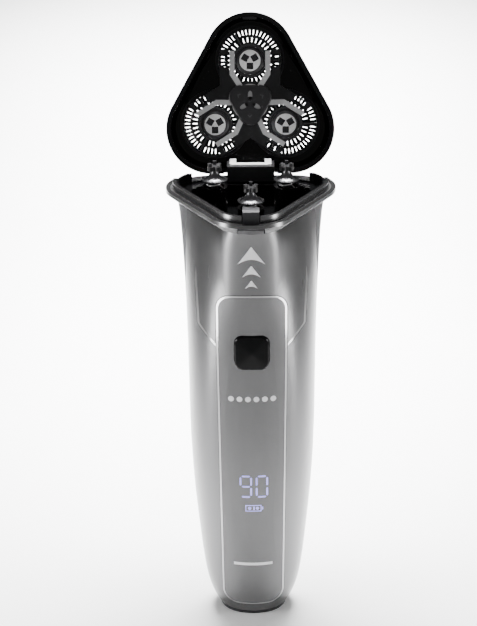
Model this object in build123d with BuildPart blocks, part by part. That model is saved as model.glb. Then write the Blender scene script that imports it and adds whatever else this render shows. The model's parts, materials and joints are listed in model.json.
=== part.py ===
"""Three-head rotary shaver, standing on its foot with the shaving head folded open.

Millimetres. +Z is up, the front faces -Y and +X is to the right. The origin is the middle of
the foot's flat face. Root pieces are drawn where they stand. Head pieces are drawn on the
plane `head`, which is the rim's plane turned back about the hinge, so a height there is the
height above the rim when the head is shut.
"""

import math
import os

from build123d import *

os.makedirs("parts", exist_ok=True)

# ---------------------------------------------------------------- driving dimensions
# body
body_height = 154.0  # foot to the rim's flange face
wall = 2.4  # whole thickness of the grip's wall
skin = 1.2  # depth of the decor panels let into that wall
foot_height = 1.4
foot_inset = 0.5
seam = 0.12  # gap round each decor panel
trim_width = 0.7
parting_y = 3.0  # where the front and rear shells meet
panel_half = 20.6  # upper panel at the rim
panel_waist = 18.6  # upper panel above its shoulders
shoulder_z = 112.0
throat_z = 105.5  # where the shoulders meet the display plate
plate_half = 11.3  # display plate at the throat
plate_foot_half = 10.0  # display plate near its lower end
plate_top_z = 123.7
plate_arch = 1.6  # the plate's top edge, higher in the middle
plate_low_z = 5.5
plate_round = 5.0
bezel_width = 0.9

# rim and head, each a triangle with round corners
corner_x = 13.55  # rear corner centres
corner_y = 12.25  # rear corner centres, and minus this for the front one
rim_radius = 15.6  # corner radius of the rim flange and of the head's skirt
collar_overhang = 4.1  # flange beyond the grip's top
collar_height = 4.5
flange_height = 1.3
skirt_wall = 1.6
lip_radius = 13.25
lip_wall = 1.2
lip_height = 2.2
lip_back_y = 15.0  # the lip stops here, in front of the hinge
head_height = 19.0
head_round = 5.0
cover_inner_round = 2.2
head_gap = 0.3  # skirt above the flange when shut

# hinge
hinge_y = 25.8
hinge_rise = 2.2
open_angle = 106.0
pin_radius = 0.8
pin_clearance = 0.05
knuckle_radius = 1.6
knuckle_x = 3.7
knuckle_width = 1.6
bracket_half = 8.2
bracket_front_y = 20.9
bracket_top = 4.1
notch_half = 9.2
notch_height = 8.0
rear_relief = 1.3  # rim face lowered behind, where the skirt swings past
relief_y = 21.0

# latch
latch_half = 2.8
latch_play = 0.3
latch_travel = 1.0
latch_rise = 4.6
release_half = 4.3
release_height = 2.6
catch_rise = 2.4  # underside of the head's catch ledge above the rim
catch_thickness = 0.8

# drive
spindle_x = 12.325  # rear spindles
spindle_rear_y = 11.05
spindle_front_y = -11.15
gear_teeth = 24
gear_thickness = 3.4
backlash = 0.08
addendum = 0.85  # in modules, stubbed
dedendum = 1.15
chamber_depth = 9.5
chamber_floor = 1.4
chamber_wall = 1.0
tower_radius = 4.4
tower_bore = 3.3
screw_head_radius = 1.5
screw_head_height = 1.1
hex_flats = 2.4  # spindle's hexagon
hex_play = 0.07
journal_radius = 2.4
journal_play = 0.06
spindle_plunge = 1.5
cone_radius = 4.45
cone_height = 3.8
cone_rise = 2.6  # cone's rim above the flange face
neck_radius = 1.35
tip_radius = 2.7
prong = 1.1
prong_reach = 1.9  # middle of a prong from the spindle's axis
prong_height = 1.2
window = 2.3
spring_radius = 2.6
spring_wire = 0.25
spring_turns = 4

# cutters and guards
guard_radius = 11.7
guard_skin = 0.6
guard_wall = 0.7
guard_proud = 1.4  # guard above the head's top face
guard_flange = 12.2
guard_play = 0.25
guard_travel = 1.2
slots_outer = 48
slots_inner = 30
slot_width = 0.34
outer_track = (9.0, 10.7)
inner_track = (6.4, 8.0)
cutter_face = 8.2  # driven face of a cutter, above the rim when shut
cutter_gap = 0.25  # blade tips under the guard
hub_radius = 4.9
disc_radius = 3.7
blade_count = 9
knob_height = 2.4
knob_face = 5.8
frame_face = 8.8
frame_thickness = 1.7
rail_in = 7.6
rail_out = 10.6
rail_end = 18.5
strip_offset = 6.25
strip_width = 1.75

# electrics
battery_radius = 9.1
battery_length = 65.0
battery_y = 3.0
battery_base = 20.0
board_y = -9.0
board_thickness = 1.2
board_width = 17.0
board_low = 24.0
board_high = 114.0
button_width = 11.9
button_height = 12.4
button_round = 3.0
button_play = 0.2
button_travel = 0.8
button_proud = 0.5
button_z = 104.8
motor_radius = 12.2
motor_flat = 15.4
motor_length = 24.0
motor_shaft_radius = 1.0
display_z = 51.5
display_width = 13.0
display_tall = 20.0
socket_y = 0.0
socket_width = 9.6
socket_depth = 3.9
socket_length = 7.0
socket_wall = 0.4

# grip sections: share of the grip's height, half width, front, back, then the radii of the
# front, the flanks and the rear corners, and the crown of the back
grip_sections = [
    (0.000, 11.4, 9.4, 13.0, 13.0, 11.5, 7.5, 1.2),
    (0.042, 14.4, 11.8, 14.6, 17.0, 13.0, 9.0, 1.6),
    (0.174, 18.1, 15.0, 16.2, 23.0, 16.0, 11.0, 2.0),
    (0.344, 20.7, 16.8, 17.2, 28.0, 18.0, 12.0, 2.5),
    (0.552, 21.8, 17.6, 18.0, 28.0, 19.0, 12.5, 2.5),
    (0.755, 22.5, 18.9, 19.4, 20.0, 24.0, 12.2, 2.0),
    (0.903, 23.6, 21.2, 21.6, 14.5, 50.0, 11.8, 1.0),
]

# ---------------------------------------------------------------- derived sizes and places
grip_radius = rim_radius - collar_overhang
grip_top = body_height - collar_height
triangle = [(0, -corner_y), (corner_x, corner_y), (-corner_x, corner_y)]
cutters = [(0, spindle_front_y), (spindle_x, spindle_rear_y), (-spindle_x, spindle_rear_y)]

# the drive axis is equally far from every spindle
drive_y = (spindle_x**2 + spindle_rear_y**2 - spindle_front_y**2) / (
    2 * (spindle_rear_y - spindle_front_y)
)
spindle_reach = drive_y - spindle_front_y
module = spindle_reach / gear_teeth
arms = [math.degrees(math.atan2(y - drive_y, x)) for x, y in cutters]

floor_z = body_height - chamber_depth  # top of the hair chamber's floor
gear_top = floor_z - chamber_floor - 0.5
gear_low = gear_top - gear_thickness
plate_top = gear_low - 0.8
gear_plate_thickness = 1.6
motor_top = plate_top - gear_plate_thickness

guard_top = head_height + guard_proud
cover_inside = head_height - skirt_wall
blade_top = guard_top - guard_skin - cutter_gap

hinge_z = body_height + hinge_rise
turn = math.radians(open_angle)
head_up = Vector(0, math.sin(turn), math.cos(turn))
head_back = Vector(0, math.cos(turn), -math.sin(turn))
head = Plane(
    origin=Vector(0, hinge_y, hinge_z) - head_back * hinge_y - head_up * hinge_rise,
    x_dir=(1, 0, 0),
    z_dir=head_up,
)


# ---------------------------------------------------------------- helpers
def finish(piece, name):
    """Label a finished piece and write it to its own file."""
    piece.part.label = name
    export_step(piece.part, f"parts/{name}.step")


def rounded_triangle(radius):
    """The rim's triangle, in the sketch that is open."""
    Polygon(*triangle, align=None)
    offset(amount=radius, kind=Kind.ARC)


def on_arc(centre, radius, angle):
    """A point of a circle, at an angle in radians."""
    return (centre[0] + radius * math.cos(angle), centre[1] + radius * math.sin(angle))


def mirrored(points):
    """The same points on the left, in reverse order."""
    return [(-x, y) for x, y in reversed(points)]


def grip_outline(half, front, back, front_r, flank_r, corner_r, crown, inset):
    """One grip section as tangent arcs: front, flanks, rear corners and back."""
    centre = (0, front_r - front)
    corner = (half - corner_r, back - corner_r - crown)
    reach_front, reach_corner = abs(front_r - flank_r), abs(corner_r - flank_r)
    gap = math.dist(centre, corner)
    ux, uy = (corner[0] - centre[0]) / gap, (corner[1] - centre[1]) / gap
    along = (reach_front**2 - reach_corner**2 + gap**2) / (2 * gap)
    across = math.copysign(math.sqrt(reach_front**2 - along**2), flank_r - front_r)
    flank = (centre[0] + along * ux - across * uy, centre[1] + along * uy + across * ux)
    start = math.atan2(*[(f - c) / (front_r - flank_r) for f, c in zip(flank, centre)][::-1])
    end = math.atan2(*[(f - c) / (corner_r - flank_r) for f, c in zip(flank, corner)][::-1])
    rear = back - corner[1]
    back_r = (corner[0] ** 2 + rear**2 - corner_r**2) / (2 * (rear - corner_r))
    stop = math.atan2(corner[1] - (back - back_r), corner[0])
    right = [
        on_arc(centre, front_r - inset, start),
        on_arc(flank, flank_r - inset, (start + end) / 2),
        on_arc(flank, flank_r - inset, end),
        on_arc(corner, corner_r - inset, (end + stop) / 2),
        on_arc(corner, corner_r - inset, stop),
    ]
    return [(0, inset - front)] + right + [(0, back - inset)] + mirrored(right)


def grip_solid(inset, low):
    """The grip's body drawn in from its outside, starting that far above the foot."""
    round_top = corner_y + grip_radius
    top_section = (1.0, corner_x + grip_radius, round_top, round_top, grip_radius)
    with BuildPart() as solid:
        for share, *sizes in grip_sections + [top_section + (300.0, grip_radius, 0.3)]:
            height = foot_height + low + share * (grip_top - foot_height - low)
            outline = grip_outline(*sizes, inset)
            ring = outline[1:] + outline[:2]
            with BuildSketch(Plane.XY.offset(height)):
                with BuildLine():
                    for first, middle, last in zip(ring[0::2], ring[1::2], ring[2::2]):
                        ThreePointArc(first, middle, last)
                make_face()
        loft()
    return solid.part


def front_prism(points, grow=0.0):
    """A prism behind an outline seen from the front, as deep as the grip's front half."""
    with BuildPart() as prism:
        with BuildSketch(Plane.XZ.offset(6)):
            Polygon(*points, align=None)
            if grow:
                offset(amount=grow, kind=Kind.INTERSECTION)
        extrude(amount=40)
    return prism.part


def plate_prism(grow):
    """The same behind the display plate's outline, whose ends are round."""
    with BuildPart() as prism:
        with BuildSketch(Plane.XZ.offset(6)) as outline:
            with BuildLine():
                Polyline(*plate_outline)
                ThreePointArc(plate_outline[0], (0, plate_top_z + plate_arch), plate_outline[-1])
            make_face()
            ends = outline.vertices().group_by(Axis.Z)
            fillet(ends[0] + ends[-1], plate_round)
            offset(amount=grow)
        extrude(amount=40)
    return prism.part


def gear_blank(teeth, phase):
    """A spur gear's outline with straight-sided teeth, in the sketch that is open."""
    pitch_r = module * teeth / 2
    tip_r, root_r = pitch_r + addendum * module, pitch_r - dedendum * module
    half = math.pi / (2 * teeth) - backlash / pitch_r / 2
    lean = math.tan(math.radians(20)) / pitch_r
    tip_half = half - lean * addendum * module
    root_half = half + lean * dedendum * module
    points = []
    for n in range(teeth):
        middle = math.radians(phase) + 2 * math.pi * n / teeth
        flanks = ((root_r, -root_half), (tip_r, -tip_half), (tip_r, tip_half), (root_r, root_half))
        points += [on_arc((0, 0), r, middle + side) for r, side in flanks]
    Polygon(*points, align=None)


def meshing_phase(direction):
    """The phase of an equal gear in that direction, for a drive gear with a tooth along +X."""
    pitch = 360 / gear_teeth
    past_tooth = (direction % pitch) / pitch
    return direction + 180 - pitch * (0.5 - past_tooth)


# ---------------------------------------------------------------- grip shells and panels
panel_outline = [
    (-panel_half, grip_top + 1),
    (-panel_waist, shoulder_z),
    (-plate_half - bezel_width, throat_z),
    (plate_half + bezel_width, throat_z),
    (panel_waist, shoulder_z),
    (panel_half, grip_top + 1),
]
plate_outline = [
    (-plate_half, plate_top_z),
    (-plate_half, throat_z),
    (-plate_foot_half, plate_low_z),
    (plate_foot_half, plate_low_z),
    (plate_half, throat_z),
    (plate_half, plate_top_z),
]


grip_outer = grip_solid(0, 0)
grip_middle = grip_solid(skin, 0)
grip_inner = grip_solid(wall, wall)

grip_cavity = grip_solid(wall + 0.2, wall)

with BuildPart() as button_hole:
    with BuildSketch(Plane.XZ.offset(10)):
        with Locations((0, button_z)):
            hole_width, hole_height = button_width + 2 * button_play, button_height + 2 * button_play
            RectangleRounded(hole_width, hole_height, button_round + button_play)
    extrude(amount=40)

socket_hole = Pos(0, socket_y, 0) * Box(socket_width, socket_depth, 30)
display_hole = Pos(0, -15, display_z) * Box(display_width, 12, display_tall)
mouth_width, mouth_height = 2 * (release_half + latch_play), release_height + 2 * 0.2
release_notch = Pos(0, -corner_y - rim_radius, grip_top + 0.1) * Box(
    mouth_width, 14, mouth_height, align=(Align.CENTER, Align.CENTER, Align.MIN)
)

with BuildPart() as recess:
    add(front_prism(panel_outline))
    add(plate_prism(bezel_width))
    add(grip_outer, mode=Mode.INTERSECT)
    add(grip_middle, mode=Mode.SUBTRACT)

with BuildPart() as front_shell:
    add(grip_outer)
    add(grip_inner, mode=Mode.SUBTRACT)
    split(bisect_by=Plane.XZ.offset(-parting_y), keep=Keep.TOP)
    add(recess.part, mode=Mode.SUBTRACT)
    add(button_hole.part, mode=Mode.SUBTRACT)
    add(socket_hole, mode=Mode.SUBTRACT)
    add(display_hole, mode=Mode.SUBTRACT)
finish(front_shell, "front_shell")

with BuildPart() as rear_shell:
    add(grip_outer)
    add(grip_inner, mode=Mode.SUBTRACT)
    split(bisect_by=Plane.XZ.offset(-parting_y), keep=Keep.BOTTOM)
finish(rear_shell, "rear_shell")


def decor(outer, *cutters_away):
    """A decor panel: that prism's share of the skin, less other prisms."""
    with BuildPart() as panel:
        add(outer)
        add(grip_outer, mode=Mode.INTERSECT)
        add(grip_middle, mode=Mode.SUBTRACT)
        for other in cutters_away:
            add(other, mode=Mode.SUBTRACT)
    return panel


panel_trim = decor(
    front_prism(panel_outline, -seam),
    front_prism(panel_outline, -seam - trim_width),
    plate_prism(bezel_width + seam),
)
finish(panel_trim, "panel_trim")

front_panel = decor(
    front_prism(panel_outline, -seam - trim_width),
    plate_prism(bezel_width + seam),
)
finish(front_panel, "front_panel")

display_bezel = decor(plate_prism(bezel_width - seam), plate_prism(seam))
finish(display_bezel, "display_bezel")

face_plate = decor(plate_prism(0), button_hole.part)
finish(face_plate, "face_plate")

# ---------------------------------------------------------------- rim, gasket and hair chamber
relief_cut = Pos(0, relief_y, body_height - rear_relief) * Box(
    80, 40, 40, align=(Align.CENTER, Align.MIN, Align.MIN)
)
lip_cut = Pos(0, lip_back_y, body_height) * Box(
    80, 40, 40, align=(Align.CENTER, Align.MIN, Align.MIN)
)
latch_front_y = -corner_y - lip_radius - 0.4
latch_slot = Pos(0, latch_front_y - latch_play, body_height - 6) * Box(
    2 * (latch_half + latch_play), 5.4, 20, align=(Align.CENTER, Align.MIN, Align.MIN)
)
groove_radius = lip_radius + 0.8

with BuildPart() as rim_ring:
    with BuildSketch(Plane.XY.offset(grip_top)):
        rounded_triangle(grip_radius + 0.2)
    with BuildSketch(Plane.XY.offset(body_height - flange_height)):
        rounded_triangle(rim_radius)
    loft()
    with BuildSketch(Plane.XY.offset(body_height - flange_height)):
        rounded_triangle(rim_radius)
    extrude(amount=flange_height)
    with BuildSketch(Plane.XY.offset(body_height)):
        rounded_triangle(lip_radius)
    extrude(amount=lip_height)
    with BuildSketch(Plane.XY.offset(body_height - 1.0)):
        rounded_triangle(groove_radius)
        offset(amount=lip_radius - groove_radius, mode=Mode.SUBTRACT)
    extrude(amount=1.0, mode=Mode.SUBTRACT)
    with BuildSketch(Plane.XY.offset(grip_top + 1.5)):
        rounded_triangle(lip_radius - lip_wall)
    extrude(amount=collar_height + lip_height, mode=Mode.SUBTRACT)
    with BuildSketch(Plane.XY.offset(grip_top)):
        rounded_triangle(grip_radius - wall)
    extrude(amount=1.5, mode=Mode.SUBTRACT)
    add(relief_cut, mode=Mode.SUBTRACT)
    add(lip_cut, mode=Mode.SUBTRACT)
    add(latch_slot, mode=Mode.SUBTRACT)
    add(release_notch, mode=Mode.SUBTRACT)
finish(rim_ring, "rim_ring")

with BuildPart() as rim_gasket:
    with BuildSketch(Plane.XY.offset(body_height - 1.0)):
        rounded_triangle(groove_radius)
        offset(amount=lip_radius - groove_radius, mode=Mode.SUBTRACT)
    extrude(amount=0.8)
    add(relief_cut, mode=Mode.SUBTRACT)
    add(latch_slot, mode=Mode.SUBTRACT)
finish(rim_gasket, "rim_gasket")

chamber_radius = grip_radius - wall - 1.0
with BuildPart() as hair_chamber:
    with BuildSketch(Plane.XY.offset(floor_z - chamber_floor)):
        rounded_triangle(chamber_radius)
    extrude(amount=grip_top - floor_z + chamber_floor)
    add(grip_cavity, mode=Mode.INTERSECT)
    with BuildSketch(Plane.XY.offset(grip_top)):
        rounded_triangle(chamber_radius)
    extrude(amount=1.5)
    with BuildSketch(Plane.XY.offset(grip_top + 1.5)):
        rounded_triangle(lip_radius - lip_wall)
    extrude(amount=body_height + lip_height - 0.4 - grip_top - 1.5)
    with BuildSketch(Plane.XY.offset(floor_z)):
        rounded_triangle(chamber_radius - chamber_wall)
    extrude(amount=30, mode=Mode.SUBTRACT)
    with BuildSketch(Plane.XY.offset(grip_top + 1.5 + chamber_wall)):
        rounded_triangle(lip_radius - lip_wall - chamber_wall)
    extrude(amount=30, mode=Mode.SUBTRACT)
    add(relief_cut, mode=Mode.SUBTRACT)
    add(latch_slot, mode=Mode.SUBTRACT)
    add(release_notch, mode=Mode.SUBTRACT)
    with BuildSketch(Plane.XY.offset(floor_z)):
        with Locations(*cutters):
            Circle(tower_radius)
    extrude(amount=chamber_depth + 0.6)
    with BuildSketch(Plane.XY.offset(floor_z)):
        with Locations(*cutters):
            Circle(tower_bore)
    extrude(amount=chamber_depth + 1, mode=Mode.SUBTRACT)
    with BuildSketch(Plane.XY.offset(floor_z - chamber_floor)):
        with Locations(*cutters):
            Circle(journal_radius + journal_play)
    extrude(amount=chamber_floor, mode=Mode.SUBTRACT)
finish(hair_chamber, "hair_chamber")

# ---------------------------------------------------------------- gear train and motor
post_places = [(0, corner_y + 5.2), (11.5, -2.6), (-11.5, -2.6)]
with BuildPart() as gear_plate:
    with BuildSketch(Plane.XY.offset(plate_top - gear_plate_thickness)):
        rounded_triangle(chamber_radius - 0.8)
        with Locations(*cutters, (0, drive_y)):
            Circle(journal_radius + journal_play, mode=Mode.SUBTRACT)
    extrude(amount=gear_plate_thickness)
    with BuildSketch(Plane.XY.offset(plate_top)):
        with Locations(*post_places):
            Circle(1.6)
    extrude(amount=floor_z - chamber_floor - plate_top)
    add(grip_cavity, mode=Mode.INTERSECT)
finish(gear_plate, "gear_plate")

with BuildPart() as chamber_screws:
    with BuildSketch(Plane.XY.offset(floor_z)):
        with Locations(*post_places):
            Circle(screw_head_radius)
    extrude(amount=screw_head_height)
    fillet(chamber_screws.faces().filter_by(Axis.Z).group_by(Axis.Z)[-1].edges(), 0.4)
    with BuildSketch(Plane.XY.offset(floor_z + screw_head_height / 2)):
        with Locations(*post_places):
            Rectangle(1.7, 0.4)
            Rectangle(0.4, 1.7)
    extrude(amount=screw_head_height, mode=Mode.SUBTRACT)
finish(chamber_screws, "chamber_screws")

with BuildPart() as motor_can:
    with BuildSketch(Plane.XY.offset(motor_top - motor_length)):
        with Locations((0, drive_y)):
            Circle(motor_radius)
            Rectangle(2 * motor_radius, motor_flat, mode=Mode.INTERSECT)
    extrude(amount=motor_length)
    with BuildSketch(Plane.XY.offset(motor_top - motor_length + 1)):
        with Locations((0, drive_y)):
            Circle(motor_radius - 1)
            Rectangle(2 * motor_radius - 2, motor_flat - 1.6, mode=Mode.INTERSECT)
    extrude(amount=motor_length - 2, mode=Mode.SUBTRACT)
    with Locations((0, drive_y, motor_top)):
        Hole(motor_shaft_radius + journal_play, depth=2 * motor_length)
finish(motor_can, "motor_can")

with BuildPart() as motor_shaft:
    with BuildSketch(Plane.XY.offset(motor_top - motor_length - 1)):
        with Locations((0, drive_y)):
            Circle(motor_shaft_radius)
    extrude(amount=gear_top - motor_top + motor_length + 1)
finish(motor_shaft, "motor_shaft")

with BuildPart() as motor_armature:
    with BuildSketch(Plane.XY.offset(motor_top - motor_length + 6)):
        with Locations((0, drive_y)):
            Circle(6.2)
            with PolarLocations(5.8, 3, 90):
                Rectangle(4.4, 1.3, mode=Mode.SUBTRACT)
            Circle(motor_shaft_radius, mode=Mode.SUBTRACT)
    extrude(amount=13)
finish(motor_armature, "motor_armature")

with BuildPart() as drive_gear:
    with BuildSketch(Plane.XY.offset(gear_low)):
        with Locations((0, drive_y)):
            gear_blank(gear_teeth, 0)
            Circle(motor_shaft_radius, mode=Mode.SUBTRACT)
            with PolarLocations(4, 6):
                Circle(0.9, mode=Mode.SUBTRACT)
    extrude(amount=gear_thickness)
finish(drive_gear, "drive_gear")

cone_z = body_height + cone_rise
hub_top = floor_z + 1.2
for n, ((x, y), arm) in enumerate(zip(cutters, arms), start=1):
    with BuildPart() as gear:
        with BuildSketch(Plane.XY.offset(gear_low)):
            with Locations((x, y)):
                gear_blank(gear_teeth, meshing_phase(arm))
        extrude(amount=gear_thickness)
        with BuildSketch(Plane.XY.offset(plate_top - gear_plate_thickness)):
            with Locations((x, y)):
                Circle(journal_radius)
        extrude(amount=hub_top - plate_top + gear_plate_thickness)
        with BuildSketch(Plane.XY.offset(plate_top - gear_plate_thickness)):
            with Locations((x, y)):
                RegularPolygon(hex_flats / 2 + hex_play, 6, major_radius=False)
        extrude(amount=40, mode=Mode.SUBTRACT)
    finish(gear, f"spindle_gear_{n}")

    with BuildPart() as spring:
        spring_height = cone_z - 0.1 - hub_top - 0.1 - 2 * spring_wire
        with BuildLine(Plane((x, y, hub_top + 0.1 + spring_wire))):
            coil = Helix(spring_height / spring_turns, spring_height, spring_radius)
        with BuildSketch(Plane(coil @ 0, z_dir=coil % 0)):
            Circle(spring_wire)
        sweep(is_frenet=True)
    finish(spring, f"spindle_spring_{n}")

    with BuildPart() as skirt:
        with BuildSketch(Plane.XZ.offset(-y)):
            with BuildLine():
                outline = [(x + cone_radius, cone_z), (x + cone_radius, cone_z + 0.5)]
                Line((x + neck_radius, cone_z), outline[0])
                Line(*outline)
                ThreePointArc(
                    outline[1],
                    (x + 2.2, cone_z + 1.75),
                    (x + neck_radius, cone_z + cone_height),
                )
                Line((x + neck_radius, cone_z + cone_height), (x + neck_radius, cone_z))
            make_face()
        revolve(axis=Axis((x, y, 0), (0, 0, 1)))
    finish(skirt, f"spindle_skirt_{n}")

    with BuildPart() as tip:
        with BuildSketch(Plane.XY.offset(plate_top - gear_plate_thickness + spindle_plunge + 0.3)):
            with Locations((x, y)):
                RegularPolygon(hex_flats / 2, 6, major_radius=False)
        extrude(amount=cone_z - plate_top + gear_plate_thickness - spindle_plunge - 0.3)
        with BuildSketch(Plane.XY.offset(cone_z)):
            with Locations((x, y)):
                Circle(neck_radius)
        extrude(amount=body_height + cutter_face - 0.4 - cone_z)
        with BuildSketch(Plane.XY.offset(cone_z + cone_height)):
            with Locations((x, y)):
                with PolarLocations(prong_reach - 0.55, 3, 90):
                    Circle(1.25)
        extrude(amount=body_height + cutter_face - 0.4 - cone_z - cone_height)
        with BuildSketch(Plane.XY.offset(body_height + cutter_face - 0.4)):
            with Locations((x, y)):
                with PolarLocations(prong_reach, 3, 90):
                    Rectangle(prong, prong)
        extrude(amount=prong_height)
    finish(tip, f"spindle_tip_{n}")

# ---------------------------------------------------------------- foot, socket and electrics
first_section = grip_outline(*grip_sections[0][1:], foot_inset)
with BuildPart() as base_foot:
    with BuildSketch():
        with BuildLine():
            ring = first_section[1:] + first_section[:2]
            for first, middle, last in zip(ring[0::2], ring[1::2], ring[2::2]):
                ThreePointArc(first, middle, last)
        make_face()
    extrude(amount=foot_height)
    add(socket_hole, mode=Mode.SUBTRACT)
finish(base_foot, "base_foot")

with BuildPart() as charge_socket:
    with BuildSketch(Plane.XY.offset(0.4)):
        with Locations((0, socket_y)):
            RectangleRounded(socket_width, socket_depth, 1.6)
    extrude(amount=socket_length)
    with BuildSketch(Plane.XY.offset(0.4)):
        with Locations((0, socket_y)):
            RectangleRounded(socket_width - 2 * socket_wall, socket_depth - 2 * socket_wall, 1.2)
            Rectangle(6.6, 0.7, mode=Mode.SUBTRACT)
    extrude(amount=socket_length - 1.0, mode=Mode.SUBTRACT)
finish(charge_socket, "charge_socket")

with BuildPart() as battery:
    with Locations((0, battery_y, battery_base)):
        Cylinder(battery_radius, battery_length, align=(Align.CENTER, Align.CENTER, Align.MIN))
    fillet(battery.edges().filter_by(GeomType.CIRCLE), 0.8)
    with Locations((0, battery_y, battery_base + battery_length)):
        Cylinder(3.2, 0.6, align=(Align.CENTER, Align.CENTER, Align.MIN))
finish(battery, "battery")

with BuildPart() as battery_tabs:
    tab_low = battery_base - 0.3
    tab_high = battery_base + battery_length + 0.6
    for height in (tab_low, tab_high):
        with Locations((0, battery_y, height)):
            Box(5, 15, 0.3, align=(Align.CENTER, Align.CENTER, Align.MIN))
finish(battery_tabs, "battery_tabs")

chassis_front = board_y + board_thickness
chassis_thickness = 1.1
with BuildPart() as chassis:
    with BuildSketch(Plane.XZ.offset(-chassis_front - chassis_thickness)):
        with Locations((0, (board_low + board_high) / 2 - 3)):
            Rectangle(board_width, board_high - board_low + 6)
            with GridLocations(0, 30, 1, 3):
                SlotOverall(9, 3, mode=Mode.SUBTRACT)
    extrude(amount=chassis_thickness)
    for height in (tab_low - 1.4, tab_high + 0.3):
        with Locations((0, chassis_front + chassis_thickness, height)):
            Box(16, 16, 1.4, align=(Align.CENTER, Align.MIN, Align.MIN))
finish(chassis, "chassis")

with BuildPart() as circuit_board:
    with BuildSketch(Plane.XZ.offset(-chassis_front)):
        with Locations((0, (board_low + board_high) / 2)):
            RectangleRounded(board_width, board_high - board_low, 1.5)
    extrude(amount=board_thickness)
finish(circuit_board, "circuit_board")

switch_height = 2.8
with BuildPart() as tact_switch:
    with BuildSketch(Plane.XZ.offset(-board_y)):
        with Locations((0, button_z)):
            RectangleRounded(6.2, 6.2, 0.5)
    extrude(amount=switch_height - 0.9)
    with BuildSketch(Plane.XZ.offset(-board_y + switch_height - 0.9)):
        with Locations((0, button_z)):
            Circle(1.7)
    extrude(amount=0.9)
finish(tact_switch, "tact_switch")

with BuildPart() as display_module:
    with BuildSketch(Plane.XZ.offset(-board_y)):
        with Locations((0, display_z)):
            RectangleRounded(display_width + 1.6, display_tall - 0.4, 1.0)
            with Locations((-2.9, 2.6), (2.9, 2.6)):
                Rectangle(4.6, 7.6, mode=Mode.SUBTRACT)
            with Locations((0, -6)):
                Rectangle(8, 3, mode=Mode.SUBTRACT)
    extrude(amount=3.4)
finish(display_module, "display_module")

grip_front = 18.5
with BuildPart() as power_button:
    with BuildSketch(Plane.XZ.offset(14.4)):
        with Locations((0, button_z)):
            RectangleRounded(button_width, button_height, button_round)
    extrude(amount=grip_front + button_proud - 14.4)
    chamfer(power_button.faces().sort_by(Axis.Y)[0].edges(), 0.35)
    with BuildSketch(Plane.XZ.offset(13.6)):
        with Locations((0, button_z)):
            RectangleRounded(button_width + 1.2, button_height + 1.2, button_round)
    extrude(amount=0.8)
    with BuildSketch(Plane.XZ.offset(-board_y + switch_height + button_travel + 0.1)):
        with Locations((0, button_z)):
            Circle(1.5)
    extrude(amount=13.6 + board_y - switch_height - button_travel - 0.1)
finish(power_button, "power_button")

# ---------------------------------------------------------------- latch
nose_z = body_height + catch_rise + catch_thickness + 0.3
release_low = grip_top + 0.3
release_top = release_low + release_height
stem_front_y, stem_back_y = latch_front_y + 0.9, latch_front_y + 3.2
with BuildPart() as latch_hook:
    with BuildSketch(Plane.YZ.offset(-latch_half)):
        Polygon(
            (stem_front_y, release_top),
            (stem_front_y, nose_z),
            (latch_front_y, nose_z),
            (latch_front_y, nose_z + 0.5),
            (stem_front_y - 0.1, body_height + latch_rise),
            (stem_back_y, body_height + latch_rise),
            (stem_back_y, release_top),
            align=None,
        )
    extrude(amount=2 * latch_half)
finish(latch_hook, "latch_hook")

button_front_y = -corner_y - rim_radius + 1.3
with BuildPart() as release_button:
    with BuildSketch(Plane.YZ.offset(-release_half)):
        Polygon(
            (stem_back_y, release_low),
            (stem_back_y, release_top),
            (button_front_y, release_top),
            (button_front_y, release_top - 0.7),
            (-corner_y - grip_radius - 0.5, release_low),
            align=None,
        )
    extrude(amount=2 * release_half)
finish(release_button, "release_button")

# ---------------------------------------------------------------- hinge, fixed side
bracket_back_y = corner_y + rim_radius - 0.4
with BuildPart() as hinge_bracket:
    with BuildSketch(Plane.XY.offset(body_height - rear_relief)):
        Polygon(
            (-bracket_half, bracket_front_y),
            (bracket_half, bracket_front_y),
            (bracket_half, bracket_back_y),
            (-bracket_half, bracket_back_y),
            align=None,
        )
    extrude(amount=rear_relief + bracket_top)
    cheek = 5.6
    with Locations((0, bracket_front_y + 2.0, body_height - 0.4)):
        Box(2 * cheek, 20, 20, align=(Align.CENTER, Align.MIN, Align.MIN), mode=Mode.SUBTRACT)
    with Locations(Location((0, hinge_y, hinge_z), (0, 90, 0))):
        Cylinder(pin_radius, 4 * bracket_half, mode=Mode.SUBTRACT)
finish(hinge_bracket, "hinge_bracket")

with BuildPart() as hinge_plate:
    with BuildSketch(Plane.XY.offset(body_height + bracket_top)):
        with Locations((0, bracket_front_y)):
            Rectangle(2 * bracket_half - 2.1, 6.5, align=(Align.CENTER, Align.MIN))
        with Locations((0, bracket_front_y + 2.3)):
            Rectangle(10, 6, align=(Align.CENTER, Align.MIN), mode=Mode.SUBTRACT)
    extrude(amount=0.8)
    fillet(hinge_plate.edges().filter_by(Axis.Z).sort_by(Axis.Y)[:2], 1.0)
finish(hinge_plate, "hinge_plate")

with BuildPart() as hinge_pin:
    with Locations(Location((0, hinge_y, hinge_z), (0, 90, 0))):
        Cylinder(pin_radius, 2 * bracket_half)
finish(hinge_pin, "hinge_pin")

# ---------------------------------------------------------------- head
def rounded_prism(radius, low, high, edge):
    """A rounded-triangle block on the head's plane, its upper edge rounded."""
    with BuildPart() as block:
        with BuildSketch(head.offset(low)):
            rounded_triangle(radius)
        extrude(amount=high - low)
        top = block.faces().filter_by(lambda f: f.normal_at().dot(head_up) > 0.99)
        fillet(top.sort_by(lambda f: f.center().dot(head_up))[-1].edges(), edge)
    return block.part


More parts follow.
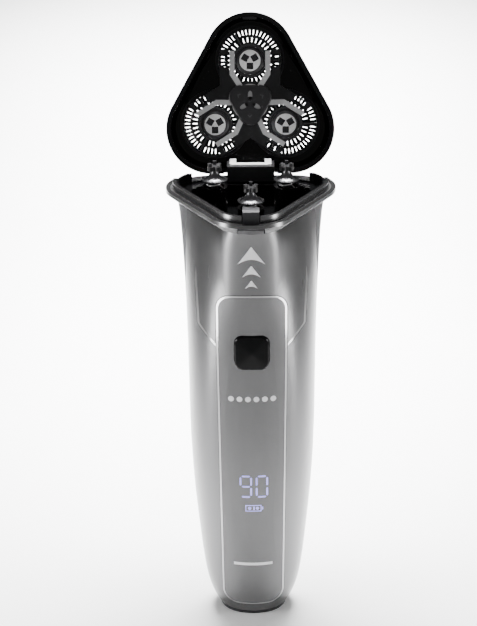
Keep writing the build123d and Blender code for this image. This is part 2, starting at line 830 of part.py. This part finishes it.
with BuildPart() as head_cover:
    add(rounded_prism(rim_radius, head_gap, head_height, head_round))
    add(
        rounded_prism(rim_radius - skirt_wall, head_gap, cover_inside, cover_inner_round),
        mode=Mode.SUBTRACT,
    )
    with BuildSketch(head.offset(cover_inside - 2)):
        with Locations(*cutters):
            Circle(guard_radius + guard_play)
    extrude(amount=10, mode=Mode.SUBTRACT)
    with BuildSketch(head.offset(frame_face + frame_thickness)):
        with Locations((0, drive_y)):
            Circle(2.0)
    extrude(amount=cover_inside - frame_face - frame_thickness)
    with BuildSketch(head.offset(frame_face + frame_thickness)):
        with Locations((0, drive_y)):
            Circle(1.1)
    extrude(amount=4.2, mode=Mode.SUBTRACT)
    with BuildSketch(head.offset(head_gap)):
        with Locations((0, corner_y + rim_radius)):
            Rectangle(2 * notch_half, 8)
    extrude(amount=notch_height - head_gap, mode=Mode.SUBTRACT)
finish(head_cover, "head_cover")

cover_back_y = corner_y + rim_radius - skirt_wall
with BuildPart() as hinge_leaf:
    with BuildSketch(head.offset(hinge_rise)):
        with Locations((knuckle_x, cover_back_y), (-knuckle_x, cover_back_y)):
            Rectangle(knuckle_width, 1.85, align=(Align.CENTER, Align.MAX))
    extrude(amount=12 - hinge_rise)
    with BuildSketch(head.offset(9)):
        with Locations((0, cover_back_y)):
            Rectangle(2 * knuckle_x + knuckle_width, 1.85, align=(Align.CENTER, Align.MAX))
    extrude(amount=3)
    with Locations(
        Location((knuckle_x, hinge_y, hinge_z), (0, 90, 0)),
        Location((-knuckle_x, hinge_y, hinge_z), (0, 90, 0)),
    ):
        Cylinder(knuckle_radius, knuckle_width)
        Cylinder(pin_radius + pin_clearance, knuckle_width + 1, mode=Mode.SUBTRACT)
finish(hinge_leaf, "hinge_leaf")

with BuildPart() as head_catch:
    with BuildSketch(head.offset(catch_rise)):
        rounded_triangle(rim_radius - skirt_wall)
        with Locations((0, -cover_back_y)):
            Rectangle(
                2 * latch_half - 0.8, 0.95, align=(Align.CENTER, Align.MIN), mode=Mode.INTERSECT
            )
    extrude(amount=catch_thickness)
finish(head_catch, "head_catch")

opening = [(7.4, -3.6), (11.4, -rail_in), (22, -rail_in), (22, rail_in), (11.4, rail_in), (7.4, 3.6)]
with BuildPart() as retaining_frame:
    with BuildSketch(head.offset(frame_face)):
        for arm in arms:
            with Locations(Location((0, drive_y), arm)):
                Rectangle(rail_end, 2 * rail_out, align=(Align.MIN, Align.CENTER))
        for arm in arms:
            with Locations(Location((0, drive_y), arm)):
                Polygon(*opening, align=None, mode=Mode.SUBTRACT)
                with Locations((spindle_reach, 9.1), (spindle_reach, -9.1)):
                    Rectangle(4.4, 1.8, mode=Mode.SUBTRACT)
        with Locations((0, drive_y)):
            Circle(1.1, mode=Mode.SUBTRACT)
    extrude(amount=frame_thickness)
finish(retaining_frame, "retaining_frame")

strip_thickness = 0.5
with BuildPart() as retaining_springs:
    with BuildSketch(head.offset(frame_face - strip_thickness)):
        for arm in arms:
            for side in (1, -1):
                inner, outer = strip_offset - strip_width / 2, strip_offset + strip_width / 2
                with Locations(Location((0, drive_y), arm)):
                    Polygon(
                        (5.6, 2.3 * side),
                        (10.4, inner * side),
                        (rail_end - 0.6, inner * side),
                        (rail_end - 0.6, outer * side),
                        (9.6, outer * side),
                        (4.8, 4.0 * side),
                        align=None,
                    )
        with Locations((0, drive_y)):
            Circle(6.4)
            Circle(2.0, mode=Mode.SUBTRACT)
    extrude(amount=strip_thickness)
finish(retaining_springs, "retaining_springs")

with BuildPart() as lock_knob:
    with BuildSketch(head.offset(knob_face)):
        with Locations(Location((0, drive_y), 90)):
            RegularPolygon(3.9, 3)
        offset(amount=4.1, kind=Kind.ARC)
        with Locations(Location((0, drive_y), 30)):
            with PolarLocations(2.5, 3):
                Ellipse(1.6, 0.8, mode=Mode.SUBTRACT)
    extrude(amount=knob_height)
    fillet(lock_knob.faces().sort_by(lambda f: f.center().dot(head_up))[0].outer_wire().edges(), 0.5)
finish(lock_knob, "lock_knob")

with BuildPart() as lock_stem:
    with BuildSketch(head.offset(knob_face + knob_height)):
        with Locations((0, drive_y)):
            Circle(1.04)
    extrude(amount=frame_face + frame_thickness + 4 - knob_face - knob_height)
finish(lock_stem, "lock_stem")

# ---------------------------------------------------------------- guards and cutters
flange_top = cover_inside - 0.1
for n, ((x, y), arm) in enumerate(zip(cutters, arms), start=1):
    with BuildPart() as guard:
        with BuildSketch(head.offset(flange_top - 0.9)):
            with Locations((x, y)):
                Circle(guard_flange)
        extrude(amount=0.9)
        with BuildSketch(head.offset(flange_top)):
            with Locations((x, y)):
                Circle(guard_radius)
        extrude(amount=guard_top - flange_top)
        rim = guard.edges().filter_by(GeomType.CIRCLE)
        fillet(rim.sort_by(lambda e: e.center().dot(head_up))[-1], 0.5)
        with BuildSketch(head.offset(flange_top - 0.9)):
            with Locations((x, y)):
                Circle(guard_radius - guard_wall)
        extrude(amount=guard_top - guard_skin - flange_top + 0.9, mode=Mode.SUBTRACT)
        with BuildSketch(head.offset(guard_top - guard_skin - 0.1)):
            with Locations((x, y)):
                for count, (low, high) in ((slots_outer, outer_track), (slots_inner, inner_track)):
                    with PolarLocations((low + high) / 2, count):
                        Rectangle(high - low, slot_width)
        extrude(amount=guard_skin + 0.2, mode=Mode.SUBTRACT)
    finish(guard, f"guard_{n}")

    with BuildPart() as blades:
        with BuildSketch(head.offset(cutter_face)):
            with Locations((x, y)):
                Circle(disc_radius)
                with PolarLocations(prong_reach, 3, 90):
                    Rectangle(window, window, mode=Mode.SUBTRACT)
        extrude(amount=0.6)
        with BuildSketch(head.offset(cutter_face + 0.6)):
            with Locations((x, y)):
                Circle(3.5)
                Circle(3.15, mode=Mode.SUBTRACT)
        extrude(amount=4.8)
        with BuildSketch(head.offset(cutter_face + 5.4)):
            with Locations((x, y)):
                Circle(6.0)
        extrude(amount=0.7)
        with BuildSketch(head.offset(cutter_face + 5.4)):
            with Locations((x, y)):
                with PolarLocations(8.1, blade_count):
                    Rectangle(4.9, 0.5)
        extrude(amount=blade_top - cutter_face - 5.4)
    finish(blades, f"cutter_blades_{n}")

    with BuildPart() as carrier:
        with BuildSketch(head.offset(cutter_face + 0.3)):
            with Locations((x, y)):
                Circle(hub_radius)
        extrude(amount=5.1)
        low_edge = carrier.faces().sort_by(lambda f: f.center().dot(head_up))[0].edges()
        fillet(low_edge, 0.9)
        with BuildSketch(head.offset(cutter_face + 0.3)):
            with Locations((x, y)):
                Circle(disc_radius)
        extrude(amount=0.3, mode=Mode.SUBTRACT)
        with BuildSketch(head.offset(cutter_face + 0.6)):
            with Locations((x, y)):
                Circle(3.5)
        extrude(amount=5, mode=Mode.SUBTRACT)
    finish(carrier, f"cutter_carrier_{n}")
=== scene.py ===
"""Looks of the three-head rotary shaver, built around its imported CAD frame. Metres."""
import json
import math

import bmesh
import bpy
from mathutils import Matrix, Vector
from mathutils.bvhtree import BVHTree


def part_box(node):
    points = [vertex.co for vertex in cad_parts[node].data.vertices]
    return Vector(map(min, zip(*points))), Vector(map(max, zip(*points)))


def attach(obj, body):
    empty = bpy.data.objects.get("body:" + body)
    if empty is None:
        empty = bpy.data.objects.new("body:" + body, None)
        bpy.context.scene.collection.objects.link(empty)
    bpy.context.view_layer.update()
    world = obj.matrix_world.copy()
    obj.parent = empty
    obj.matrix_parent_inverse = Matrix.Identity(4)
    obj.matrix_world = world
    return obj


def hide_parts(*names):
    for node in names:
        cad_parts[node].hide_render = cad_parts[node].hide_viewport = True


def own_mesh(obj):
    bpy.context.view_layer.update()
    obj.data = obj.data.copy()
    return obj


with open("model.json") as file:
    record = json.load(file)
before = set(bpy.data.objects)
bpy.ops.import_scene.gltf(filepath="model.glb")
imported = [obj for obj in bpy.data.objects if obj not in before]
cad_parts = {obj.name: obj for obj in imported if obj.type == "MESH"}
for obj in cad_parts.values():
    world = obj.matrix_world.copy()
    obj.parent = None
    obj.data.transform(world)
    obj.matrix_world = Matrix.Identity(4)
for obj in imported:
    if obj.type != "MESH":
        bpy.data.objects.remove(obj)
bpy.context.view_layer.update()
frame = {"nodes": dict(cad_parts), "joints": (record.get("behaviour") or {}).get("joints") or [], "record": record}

MM = 0.001
RIGHT, UP = Vector((1, 0, 0)), Vector((0, 0, 1))
nodes = frame["nodes"]
joints = {joint["name"]: joint for joint in frame["joints"]}

# ---------------------------------------------------------------- camera
CAMERA_TARGET = Vector((0, 0, 0.105))
CAMERA_DISTANCE = 0.924
CAMERA_ELEVATION = math.radians(22.16)
CAMERA_ROLL = math.radians(-0.38)
CLIP_START = 0.01
SENSOR = 36.0
IMAGE_WIDTH = 477
FOCAL_PIXELS = 2672.0
OFFSET_RIGHT, OFFSET_DOWN = 13.2, 18.9  # pixels from the image's middle to the target


def make_camera():
    camera = bpy.data.objects.new("camera", bpy.data.cameras.new("camera"))
    bpy.context.scene.collection.objects.link(camera)
    away = Vector((0, -math.cos(CAMERA_ELEVATION), math.sin(CAMERA_ELEVATION)))
    turn = (-away).to_track_quat("-Z", "Y").to_matrix() @ Matrix.Rotation(CAMERA_ROLL, 3, "Z")
    place = Matrix.Translation(CAMERA_TARGET + away * CAMERA_DISTANCE)
    camera.matrix_world = place @ turn.to_4x4()
    camera.data.sensor_fit = "HORIZONTAL"
    camera.data.sensor_width = SENSOR
    camera.data.lens = FOCAL_PIXELS / IMAGE_WIDTH * SENSOR
    camera.data.shift_x = -OFFSET_RIGHT / IMAGE_WIDTH
    camera.data.shift_y = OFFSET_DOWN / IMAGE_WIDTH
    camera.data.clip_start = CLIP_START
    bpy.context.scene.camera = camera


# ---------------------------------------------------------------- floor and light
SKY_STRENGTH = 0.22
FLOOR_HALF = 3.0
# Name, place, point aimed at, width and height, power in watts, spread in degrees. The metal
# mirrors the two low strips as its pale bands, and the back light's narrow patch of floor
# leaves its edges dark.
LIGHTS = [
    ("strip_left", (-0.27, -0.10, 0.08), (0, 0, 0.08), (0.07, 0.30), 1.0, 180),
    ("strip_right", (0.27, -0.10, 0.08), (0, 0, 0.08), (0.06, 0.30), 0.70, 180),
    ("top", (0, 0.10, 0.85), (0, 0.10, 0), (0.5, 0.5), 1.3, 180),
    ("back", (0, 0.45, 0.50), (0, 0.42, 0), (0.26, 0.8), 13.0, 64),
]


def area_light(name, place, aim, size, power, spread):
    lamp = bpy.data.lights.new(name, "AREA")
    lamp.shape = "RECTANGLE"
    lamp.size, lamp.size_y = size
    lamp.energy = power
    lamp.spread = math.radians(spread)
    holder = bpy.data.objects.new(name, lamp)
    bpy.context.scene.collection.objects.link(holder)
    holder.location = place
    holder.rotation_euler = (Vector(aim) - Vector(place)).to_track_quat("-Z", "Y").to_euler()
    holder.visible_camera = False


def make_studio():
    world = bpy.data.worlds.new("studio")
    world.use_nodes = True
    sky = world.node_tree.nodes["Background"].inputs
    sky["Color"].default_value = (1, 1, 1, 1)
    sky["Strength"].default_value = SKY_STRENGTH
    bpy.context.scene.world = world
    for light in LIGHTS:
        area_light(*light)


def make_floor():
    mesh = bpy.data.meshes.new("floor")
    corners = [(x * FLOOR_HALF, y * FLOOR_HALF, 0) for x, y in ((-1, -1), (1, -1), (1, 1), (-1, 1))]
    mesh.from_pydata(corners, [], [(0, 1, 2, 3)])
    floor = bpy.data.objects.new("floor", mesh)
    bpy.context.scene.collection.objects.link(floor)
    paper = surface("floor_paper", (0.93, 0.93, 0.93), 0, 0.7, grain=60, mottle=0.01)
    floor.data.materials.append(paper)


# ---------------------------------------------------------------- materials
SMUDGE_SCALE = 45.0
COAT_ROUGHNESS = 0.08
LEAST_ROUGHNESS = 0.02
BUMP_DISTANCE = 0.0001
BRUSHED_UP = (1, 1, 0.03)


def surface(name, colour, metallic, roughness, grain=900, stretch=(1, 1, 1), mottle=0.06,
            rough_spread=0.05, bump=0.0, coat=0.0, glow=0.0, specular=0.5):
    """A finish in object space: its grain, slow smudges in the roughness, and a fine bump."""
    material = bpy.data.materials.new(name)
    material.use_nodes = True
    tree = material.node_tree
    shader = tree.nodes["Principled BSDF"]
    shader.inputs["Metallic"].default_value = metallic
    shader.inputs["Specular IOR Level"].default_value = specular
    shader.inputs["Coat Weight"].default_value = coat
    shader.inputs["Coat Roughness"].default_value = COAT_ROUGHNESS

    def add(kind, **values):
        node = tree.nodes.new(kind)
        for key, value in values.items():
            node.inputs[key].default_value = value
        return node

    place = add("ShaderNodeTexCoord").outputs["Object"]
    mapping = add("ShaderNodeMapping", Scale=stretch)
    tree.links.new(place, mapping.inputs["Vector"])
    fine = add("ShaderNodeTexNoise", Scale=grain, Detail=4.0, Roughness=0.6)
    tree.links.new(mapping.outputs["Vector"], fine.inputs["Vector"])
    slow = add("ShaderNodeTexNoise", Scale=SMUDGE_SCALE, Detail=3.0, Roughness=0.55)
    tree.links.new(place, slow.inputs["Vector"])

    tint = tree.nodes.new("ShaderNodeMix")
    tint.data_type = "RGBA"
    tint.inputs["A"].default_value = (*(c * (1 - mottle) for c in colour), 1)
    tint.inputs["B"].default_value = (*(min(1, c * (1 + mottle)) for c in colour), 1)
    tree.links.new(fine.outputs["Fac"], tint.inputs["Factor"])
    tree.links.new(tint.outputs["Result"], shader.inputs["Base Color"])

    both = tree.nodes.new("ShaderNodeMath")
    both.operation = "ADD"
    tree.links.new(fine.outputs["Fac"], both.inputs[0])
    tree.links.new(slow.outputs["Fac"], both.inputs[1])
    spread = tree.nodes.new("ShaderNodeMapRange")
    spread.inputs["From Min"].default_value = 0.5
    spread.inputs["From Max"].default_value = 1.5
    spread.inputs["To Min"].default_value = max(LEAST_ROUGHNESS, roughness - rough_spread)
    spread.inputs["To Max"].default_value = roughness + rough_spread
    tree.links.new(both.outputs[0], spread.inputs["Value"])
    tree.links.new(spread.outputs["Result"], shader.inputs["Roughness"])

    if bump:
        relief = add("ShaderNodeBump", Strength=bump, Distance=BUMP_DISTANCE)
        tree.links.new(fine.outputs["Fac"], relief.inputs["Height"])
        tree.links.new(relief.outputs["Normal"], shader.inputs["Normal"])
    if glow:
        shader.inputs["Emission Color"].default_value = (*colour, 1)
        shader.inputs["Emission Strength"].default_value = glow
    return material


FINISHES = {
    "silver_shell": dict(colour=(0.155, 0.155, 0.157), metallic=1, roughness=0.24, grain=1500,
                         stretch=BRUSHED_UP, mottle=0.04, bump=0.05),
    "silver_rim": dict(colour=(0.20, 0.20, 0.202), metallic=1, roughness=0.22, grain=1200,
                       mottle=0.03),
    "bright_trim": dict(colour=(0.42, 0.42, 0.424), metallic=1, roughness=0.12, mottle=0.02,
                        rough_spread=0.03),
    "plate_grey": dict(colour=(0.15, 0.15, 0.152), metallic=0.6, roughness=0.36, grain=2600,
                       mottle=0.08, bump=0.05),
    "soft_grip": dict(colour=(0.05, 0.05, 0.053), metallic=0, roughness=0.62, grain=2400,
                      mottle=0.2, bump=0.35),
    "black_gloss": dict(colour=(0.002, 0.002, 0.0022), metallic=0, roughness=0.16, mottle=0.2,
                        rough_spread=0.04, coat=0.05, specular=0.2),
    "black_satin": dict(colour=(0.011, 0.011, 0.012), metallic=0, roughness=0.34, grain=2200,
                        mottle=0.25, bump=0.12),
    "dark_grey": dict(colour=(0.045, 0.045, 0.048), metallic=0.1, roughness=0.34, grain=2000,
                      mottle=0.15, bump=0.1),
    "light_grey": dict(colour=(0.72, 0.72, 0.73), metallic=0.3, roughness=0.36, grain=1800,
                       mottle=0.06, bump=0.08),
    "gasket": dict(colour=(0.010, 0.010, 0.010), metallic=0, roughness=0.58, grain=1800,
                   mottle=0.3, bump=0.3),
    "chrome": dict(colour=(0.80, 0.80, 0.81), metallic=1, roughness=0.10, mottle=0.02,
                   rough_spread=0.03),
    "steel": dict(colour=(0.55, 0.55, 0.56), metallic=1, roughness=0.26, grain=2600,
                  mottle=0.06, bump=0.08),
    "spring_steel": dict(colour=(0.92, 0.92, 0.93), metallic=0.7, roughness=0.24, grain=2400,
                         mottle=0.05),
    "nylon": dict(colour=(0.72, 0.71, 0.68), metallic=0, roughness=0.42, grain=1600,
                  mottle=0.04, bump=0.1),
    "battery_wrap": dict(colour=(0.05, 0.16, 0.34), metallic=0, roughness=0.30, mottle=0.08,
                         coat=0.3),
    "board": dict(colour=(0.02, 0.13, 0.06), metallic=0, roughness=0.35, grain=1500,
                  mottle=0.25, coat=0.4),
    "nickel": dict(colour=(0.62, 0.60, 0.57), metallic=1, roughness=0.25, grain=2000,
                   mottle=0.05),
    "print_white": dict(colour=(0.80, 0.80, 0.81), metallic=0.1, roughness=0.42, grain=1500,
                        mottle=0.03),
    "gunmetal": dict(colour=(0.12, 0.12, 0.125), metallic=1, roughness=0.24, grain=2200,
                     mottle=0.1, bump=0.05),
    # Painted shade: the steel guards' inner faces made near-black, standing in for the shade inside the head.
    "guard_inside_painted_shade": dict(colour=(0.018, 0.018, 0.020), metallic=0.4, roughness=0.30, grain=2200,
                         mottle=0.2, bump=0.1),
    "disc_silver": dict(colour=(0.95, 0.95, 0.95), metallic=0.25, roughness=0.30, grain=2600,
                        mottle=0.05),
    "lit": dict(colour=(0.42, 0.40, 0.95), metallic=0, roughness=0.5, grain=900, mottle=0.05,
                glow=0.75),
}
# Nodes that don't look like their record slot, by name without the shaving head's number.
NODE_LOOKS = {"spindle_skirt": "gunmetal", "hinge_bracket": "black_satin",
              "cutter_blades": "gunmetal"}
# Guard faces under this cosine get the near-black painted shade of the head's inside.
GUARD_OUTWARD = 0.3  # cosine, over which a guard's face is its shiny outside
DISC_FACING = 0.5  # cosine, over which a blade wheel's face looks at the body
DISC_RADIUS, DISC_DEPTH = 3.75 * MM, 0.25 * MM


def paint_guard(guard, axis, painted_shade):
    """Leaves a guard's outward faces as they are and gives the others a near-black finish, painted shade for the
    shade inside the head.
    """
    guard.data.materials.append(painted_shade)
    for face in guard.data.polygons:
        face.material_index = 0 if face.normal.dot(axis) > GUARD_OUTWARD else 1


def paint_disc(blades, axis, centre, silver):
    """Gives the raised disc in the middle of a blade wheel its own finish."""
    blades.data.materials.append(silver)
    inner = []
    for face in blades.data.polygons:
        offset = face.center - centre
        deep = offset.dot(axis)
        if face.normal.dot(-axis) > DISC_FACING and (offset - axis * deep).length < DISC_RADIUS:
            inner.append((deep, face))
    level = min(deep for deep, _ in inner)
    for deep, face in inner:
        if deep < level + DISC_DEPTH:
            face.material_index = 1


def finish_nodes():
    """Gives each CAD node its finish, the guards' inner faces their painted shade, and the blade wheels their
    silver discs.
    """
    made = {slot: surface(slot, **values) for slot, values in FINISHES.items()}
    slot_of = {part["node"]: part["material_slot"] for part in frame["record"]["subparts"]}
    for name, node in nodes.items():
        look = NODE_LOOKS.get(name.rstrip("_123"), slot_of[name])
        node.data.materials.clear()
        node.data.materials.append(made[look])
    for number in "123":
        spin = joints[f"cutter_spin_{number}"]
        axis, centre = Vector(spin["axis"]), Vector(spin["pos_m"])
        # The guards' inner faces get the near-black painted shade.
        paint_guard(nodes[f"guard_{number}"], axis, made["guard_inside_painted_shade"])
        paint_disc(nodes[f"cutter_blades_{number}"], axis, centre, made["disc_silver"])
    return made


# ---------------------------------------------------------------- pieces and printed marks
# Where the rays that lay a mark on its surface start: before the body, and under the knob.
AHEAD_OF_FRONT, KNOB_RAY_START = Vector((0, -0.1, 0)), 0.03
PRINT_PROUD, KNOB_PRINT_PROUD, PRINT_BURIED = 0.07 * MM, 0.04 * MM, 0.1 * MM
LONGEST_EDGE, SPLIT_ROUNDS = 0.6 * MM, 6


def add_piece(name, mesh, material, body, smooth=False):
    piece = bpy.data.objects.new(name, mesh)
    bpy.context.scene.collection.objects.link(piece)
    mesh.materials.append(material)
    for face in mesh.polygons:
        face.use_smooth = smooth
    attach(piece, body)
    return piece


def mark(name, outlines, on, material, body, centre=AHEAD_OF_FRONT, up=UP, proud=PRINT_PROUD):
    """Flat outlines in mm, laid over a CAD node's surface as a thin printed layer."""
    inward = up.cross(RIGHT)
    source = nodes[on].data
    tree = BVHTree.FromPolygons([v.co for v in source.vertices],
                                [f.vertices for f in source.polygons])
    bm = bmesh.new()
    for outline in outlines:
        corners = [bm.verts.new((a * MM, b * MM, 0)) for a, b in outline]
        edges = [bm.edges.new(pair) for pair in zip(corners, corners[1:] + corners[:1])]
        bmesh.ops.triangle_fill(bm, edges=edges, use_beauty=True, use_dissolve=False)
    for _ in range(SPLIT_ROUNDS):
        long_edges = [e for e in bm.edges if e.calc_length() > LONGEST_EDGE]
        if long_edges:
            bmesh.ops.subdivide_edges(bm, edges=long_edges, cuts=1)
            bmesh.ops.triangulate(bm, faces=bm.faces[:])
    extruded = bmesh.ops.extrude_face_region(bm, geom=bm.faces[:])["geom"]
    low = {v for v in extruded if isinstance(v, bmesh.types.BMVert)}
    for vertex in bm.verts:
        start = centre + RIGHT * vertex.co.x + up * vertex.co.y
        hit = tree.ray_cast(start, inward)[0]
        if hit is None:
            hit = tree.find_nearest(start)[0]
        vertex.co = hit + inward * (PRINT_BURIED if vertex in low else -proud)
    bmesh.ops.recalc_face_normals(bm, faces=bm.faces[:])
    mesh = bpy.data.meshes.new(name)
    bm.to_mesh(mesh)
    bm.free()
    return add_piece(name, mesh, material, body)


# ---------------------------------------------------------------- outlines, in mm
# Heights of the apex, the base's corners and the base's middle, and half the width.
ARROWS = [(144.7, 138.0, 139.9, 4.6), (137.6, 133.2, 134.4, 3.05), (132.0, 129.0, 129.8, 2.1)]
ARROW_TIP, ARROW_STEPS = 0.16, 8
DIGIT_WIDTH, DIGIT_HEIGHT, DIGIT_STROKE, DIGIT_GAP = 4.3, 8.6, 0.62, 0.75
DIGIT_LEFT, DIGIT_RIGHT, DIGIT_MIDDLE = -2.4, 3.2, 53.8
ICON_X, ICON_Z, ICON_WIDTH, ICON_HEIGHT, ICON_LINE = 0.2, 45.3, 5.6, 2.5, 0.28
ICON_CAP_REACH, ICON_CAP_WIDTH, ICON_CAP_HEIGHT = 0.35, 0.5, 1.1
# The marks inside the battery: place from its middle, width, height, length of the points.
ICON_BARS = [(-1.3, 1.1, 1.2, 0.3), (0.2, 0.5, 1.5, 0.25), (1.4, 1.1, 1.2, 0.3)]
DOT_ROW_Z, DOT_RADIUS, DOT_CORNERS, DOT_STEP, DOT_COUNT = 87.2, 1.0, 20, 2.9, 6
BAR_Z, BAR_WIDTH, BAR_HEIGHT = 22.6, 13.6, 1.1
HINT_TURNS, HINT_REACH = (210, -30, 90), 4.6
HINT_OUTLINE = [(0.7, -0.15), (-0.2, 0.75), (-0.45, 0.5), (0.1, -0.15), (-0.45, -0.8),
                (-0.2, -1.05)]


def arrowhead(apex, corner, base, half):
    """A pointed arrow whose base is hollowed to a shallow curve."""
    tip = ARROW_TIP
    points = [(-tip, apex - tip), (0, apex), (tip, apex - tip),
              (half - tip, corner + tip), (half, corner), (half - tip, corner)]
    for n in range(1, ARROW_STEPS):
        share = 1 - 2 * n / ARROW_STEPS
        points.append((share * (half - tip), base - (base - corner) * share * share))
    points += [(-half + tip, corner), (-half, corner), (-half + tip, corner + tip)]
    return points[::-1]


def bar(x, z, width, height, cut):
    """A bar with pointed ends, along its longer side."""
    w, h = width / 2, height / 2
    if width > height:
        return [(x - w, z), (x - w + cut, z - h), (x + w - cut, z - h),
                (x + w, z), (x + w - cut, z + h), (x - w + cut, z + h)]
    return [(x, z - h), (x + w, z - h + cut), (x + w, z + h - cut),
            (x, z + h), (x - w, z + h - cut), (x - w, z - h + cut)]


def segments(x, z, lit):
    """A seven-segment digit's lit bars, named a to g."""
    w, h, stroke = DIGIT_WIDTH - DIGIT_STROKE, (DIGIT_HEIGHT - DIGIT_STROKE) / 2, DIGIT_STROKE
    across, upright = w - DIGIT_GAP, h - DIGIT_GAP
    places = {
        "a": (0, h, across, stroke), "g": (0, 0, across, stroke), "d": (0, -h, across, stroke),
        "b": (w / 2, h / 2, stroke, upright), "c": (w / 2, -h / 2, stroke, upright),
        "f": (-w / 2, h / 2, stroke, upright), "e": (-w / 2, -h / 2, stroke, upright),
    }
    return [bar(x + places[k][0], z + places[k][1], *places[k][2:], cut=stroke / 2) for k in lit]


def ring_of(x, z, radius):
    angles = [2 * math.pi * n / DOT_CORNERS for n in range(DOT_CORNERS)]
    return [(x + radius * math.cos(angle), z + radius * math.sin(angle)) for angle in angles]


def box_outline(x, z, width, height):
    w, h = width / 2, height / 2
    return [(x - w, z - h), (x + w, z - h), (x + w, z + h), (x - w, z + h)]


def battery_outlines():
    """The battery's frame, its cap and the bars inside it."""
    x, z, w, h, line = ICON_X, ICON_Z, ICON_WIDTH, ICON_HEIGHT, ICON_LINE
    outlines = [box_outline(x, z + side * (h - line) / 2, w, line) for side in (1, -1)]
    outlines += [box_outline(x + side * (w - line) / 2, z, line, h - 2 * line) for side in (-1, 1)]
    outlines += [box_outline(x + w / 2 + ICON_CAP_REACH, z, ICON_CAP_WIDTH, ICON_CAP_HEIGHT)]
    return outlines + [bar(x + place, z, *size) for place, *size in ICON_BARS]


def hint_outline(turn):
    """A chevron on the lock knob's wing, turned about the knob's middle."""
    cos, sin = math.cos(math.radians(-turn)), math.sin(math.radians(-turn))
    x, z = HINT_REACH * cos, HINT_REACH * sin
    return [(x + px * cos - pz * sin, z + px * sin + pz * cos) for px, pz in HINT_OUTLINE]


def make_marks(made):
    arrows = [arrowhead(*sizes) for sizes in ARROWS]
    mark("opening_arrows", arrows, "front_panel", made["print_white"], "root")
    digits = segments(DIGIT_LEFT, DIGIT_MIDDLE, "abcdfg")
    digits += segments(DIGIT_RIGHT, DIGIT_MIDDLE, "abcdef")
    mark("charge_digits", digits, "face_plate", made["lit"], "root")
    mark("battery_icon", battery_outlines(), "face_plate", made["lit"], "root")
    first = -DOT_STEP * (DOT_COUNT - 1) / 2
    dots = [ring_of(first + n * DOT_STEP, DOT_ROW_Z, DOT_RADIUS) for n in range(DOT_COUNT)]
    mark("plate_dots", dots, "face_plate", made["print_white"], "root")
    mark("plate_bar", [box_outline(0, BAR_Z, BAR_WIDTH, BAR_HEIGHT)], "face_plate",
         made["print_white"], "root")
    knob_centre, head_up = (Vector(joints["lock_turn"][key]) for key in ("pos_m", "axis"))
    hints = [hint_outline(turn) for turn in HINT_TURNS]
    mark("knob_arrows", hints, "lock_knob", made["dark_grey"], "lock_knob",
         centre=knob_centre - head_up * KNOB_RAY_START,
         up=Vector((0, -head_up.z, head_up.y)), proud=KNOB_PRINT_PROUD)


# ---------------------------------------------------------------- power button
BUTTON_WIDTH, BUTTON_HEIGHT, BUTTON_ROUND = 11.5 * MM, 12.0 * MM, 3.0 * MM
FACET_RISE = 0.7 * MM
# From the outside in: inset from the outline, and depth behind the button's front.
BUTTON_RINGS = [(0, 0.15 * MM), (0, -0.12 * MM), (0.3 * MM, -0.3 * MM)]
CORNER_STEPS = 6


def rounded_loop(width, height, radius):
    loop = []
    for n, (sx, sz) in enumerate(((1, 1), (-1, 1), (-1, -1), (1, -1))):
        for k in range(CORNER_STEPS + 1):
            angle = math.pi / 2 * (n + k / CORNER_STEPS)
            loop.append((sx * (width / 2 - radius) + radius * math.cos(angle),
                         sz * (height / 2 - radius) + radius * math.sin(angle)))
    return loop


def make_button(made):
    """The power button's polished cap, whose facets rise to a shallow point in its middle."""
    low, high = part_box("power_button")
    centre, front = (low + high) / 2, low.y
    bm = bmesh.new()
    loops = []
    for inset, depth in BUTTON_RINGS:
        loop = rounded_loop(BUTTON_WIDTH - 2 * inset, BUTTON_HEIGHT - 2 * inset,
                            BUTTON_ROUND - inset)
        loops.append([bm.verts.new((centre.x + x, front + depth, centre.z + z)) for x, z in loop])
    for outer, inner in zip(loops, loops[1:]):
        for a, b, c, d in zip(outer, outer[1:] + outer[:1], inner[1:] + inner[:1], inner):
            bm.faces.new((a, b, c, d))
    point = bm.verts.new((centre.x, front - FACET_RISE, centre.z))
    rim = loops[-1]
    for a, b in zip(rim, rim[1:] + rim[:1]):
        bm.faces.new((a, b, point))
    bm.faces.new(loops[0])
    bmesh.ops.recalc_face_normals(bm, faces=bm.faces[:])
    mesh = bpy.data.meshes.new("button_facets")
    bm.to_mesh(mesh)
    bm.free()
    add_piece("button_facets", mesh, made["black_gloss"], "power_button")


def make_coils(made):
    """The spindle springs as their own pieces, carried by their gears."""
    for number in "123":
        node = f"spindle_spring_{number}"
        coil = add_piece(f"coil_{number}", nodes[node].data.copy(), made["spring_steel"],
                         f"gear_{number}", smooth=True)
        coil.data.materials.pop(index=0)
        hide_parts(node)
        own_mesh(coil)


make_camera()
make_studio()
finishes = finish_nodes()
make_marks(finishes)
make_button(finishes)
make_coils(finishes)
make_floor()
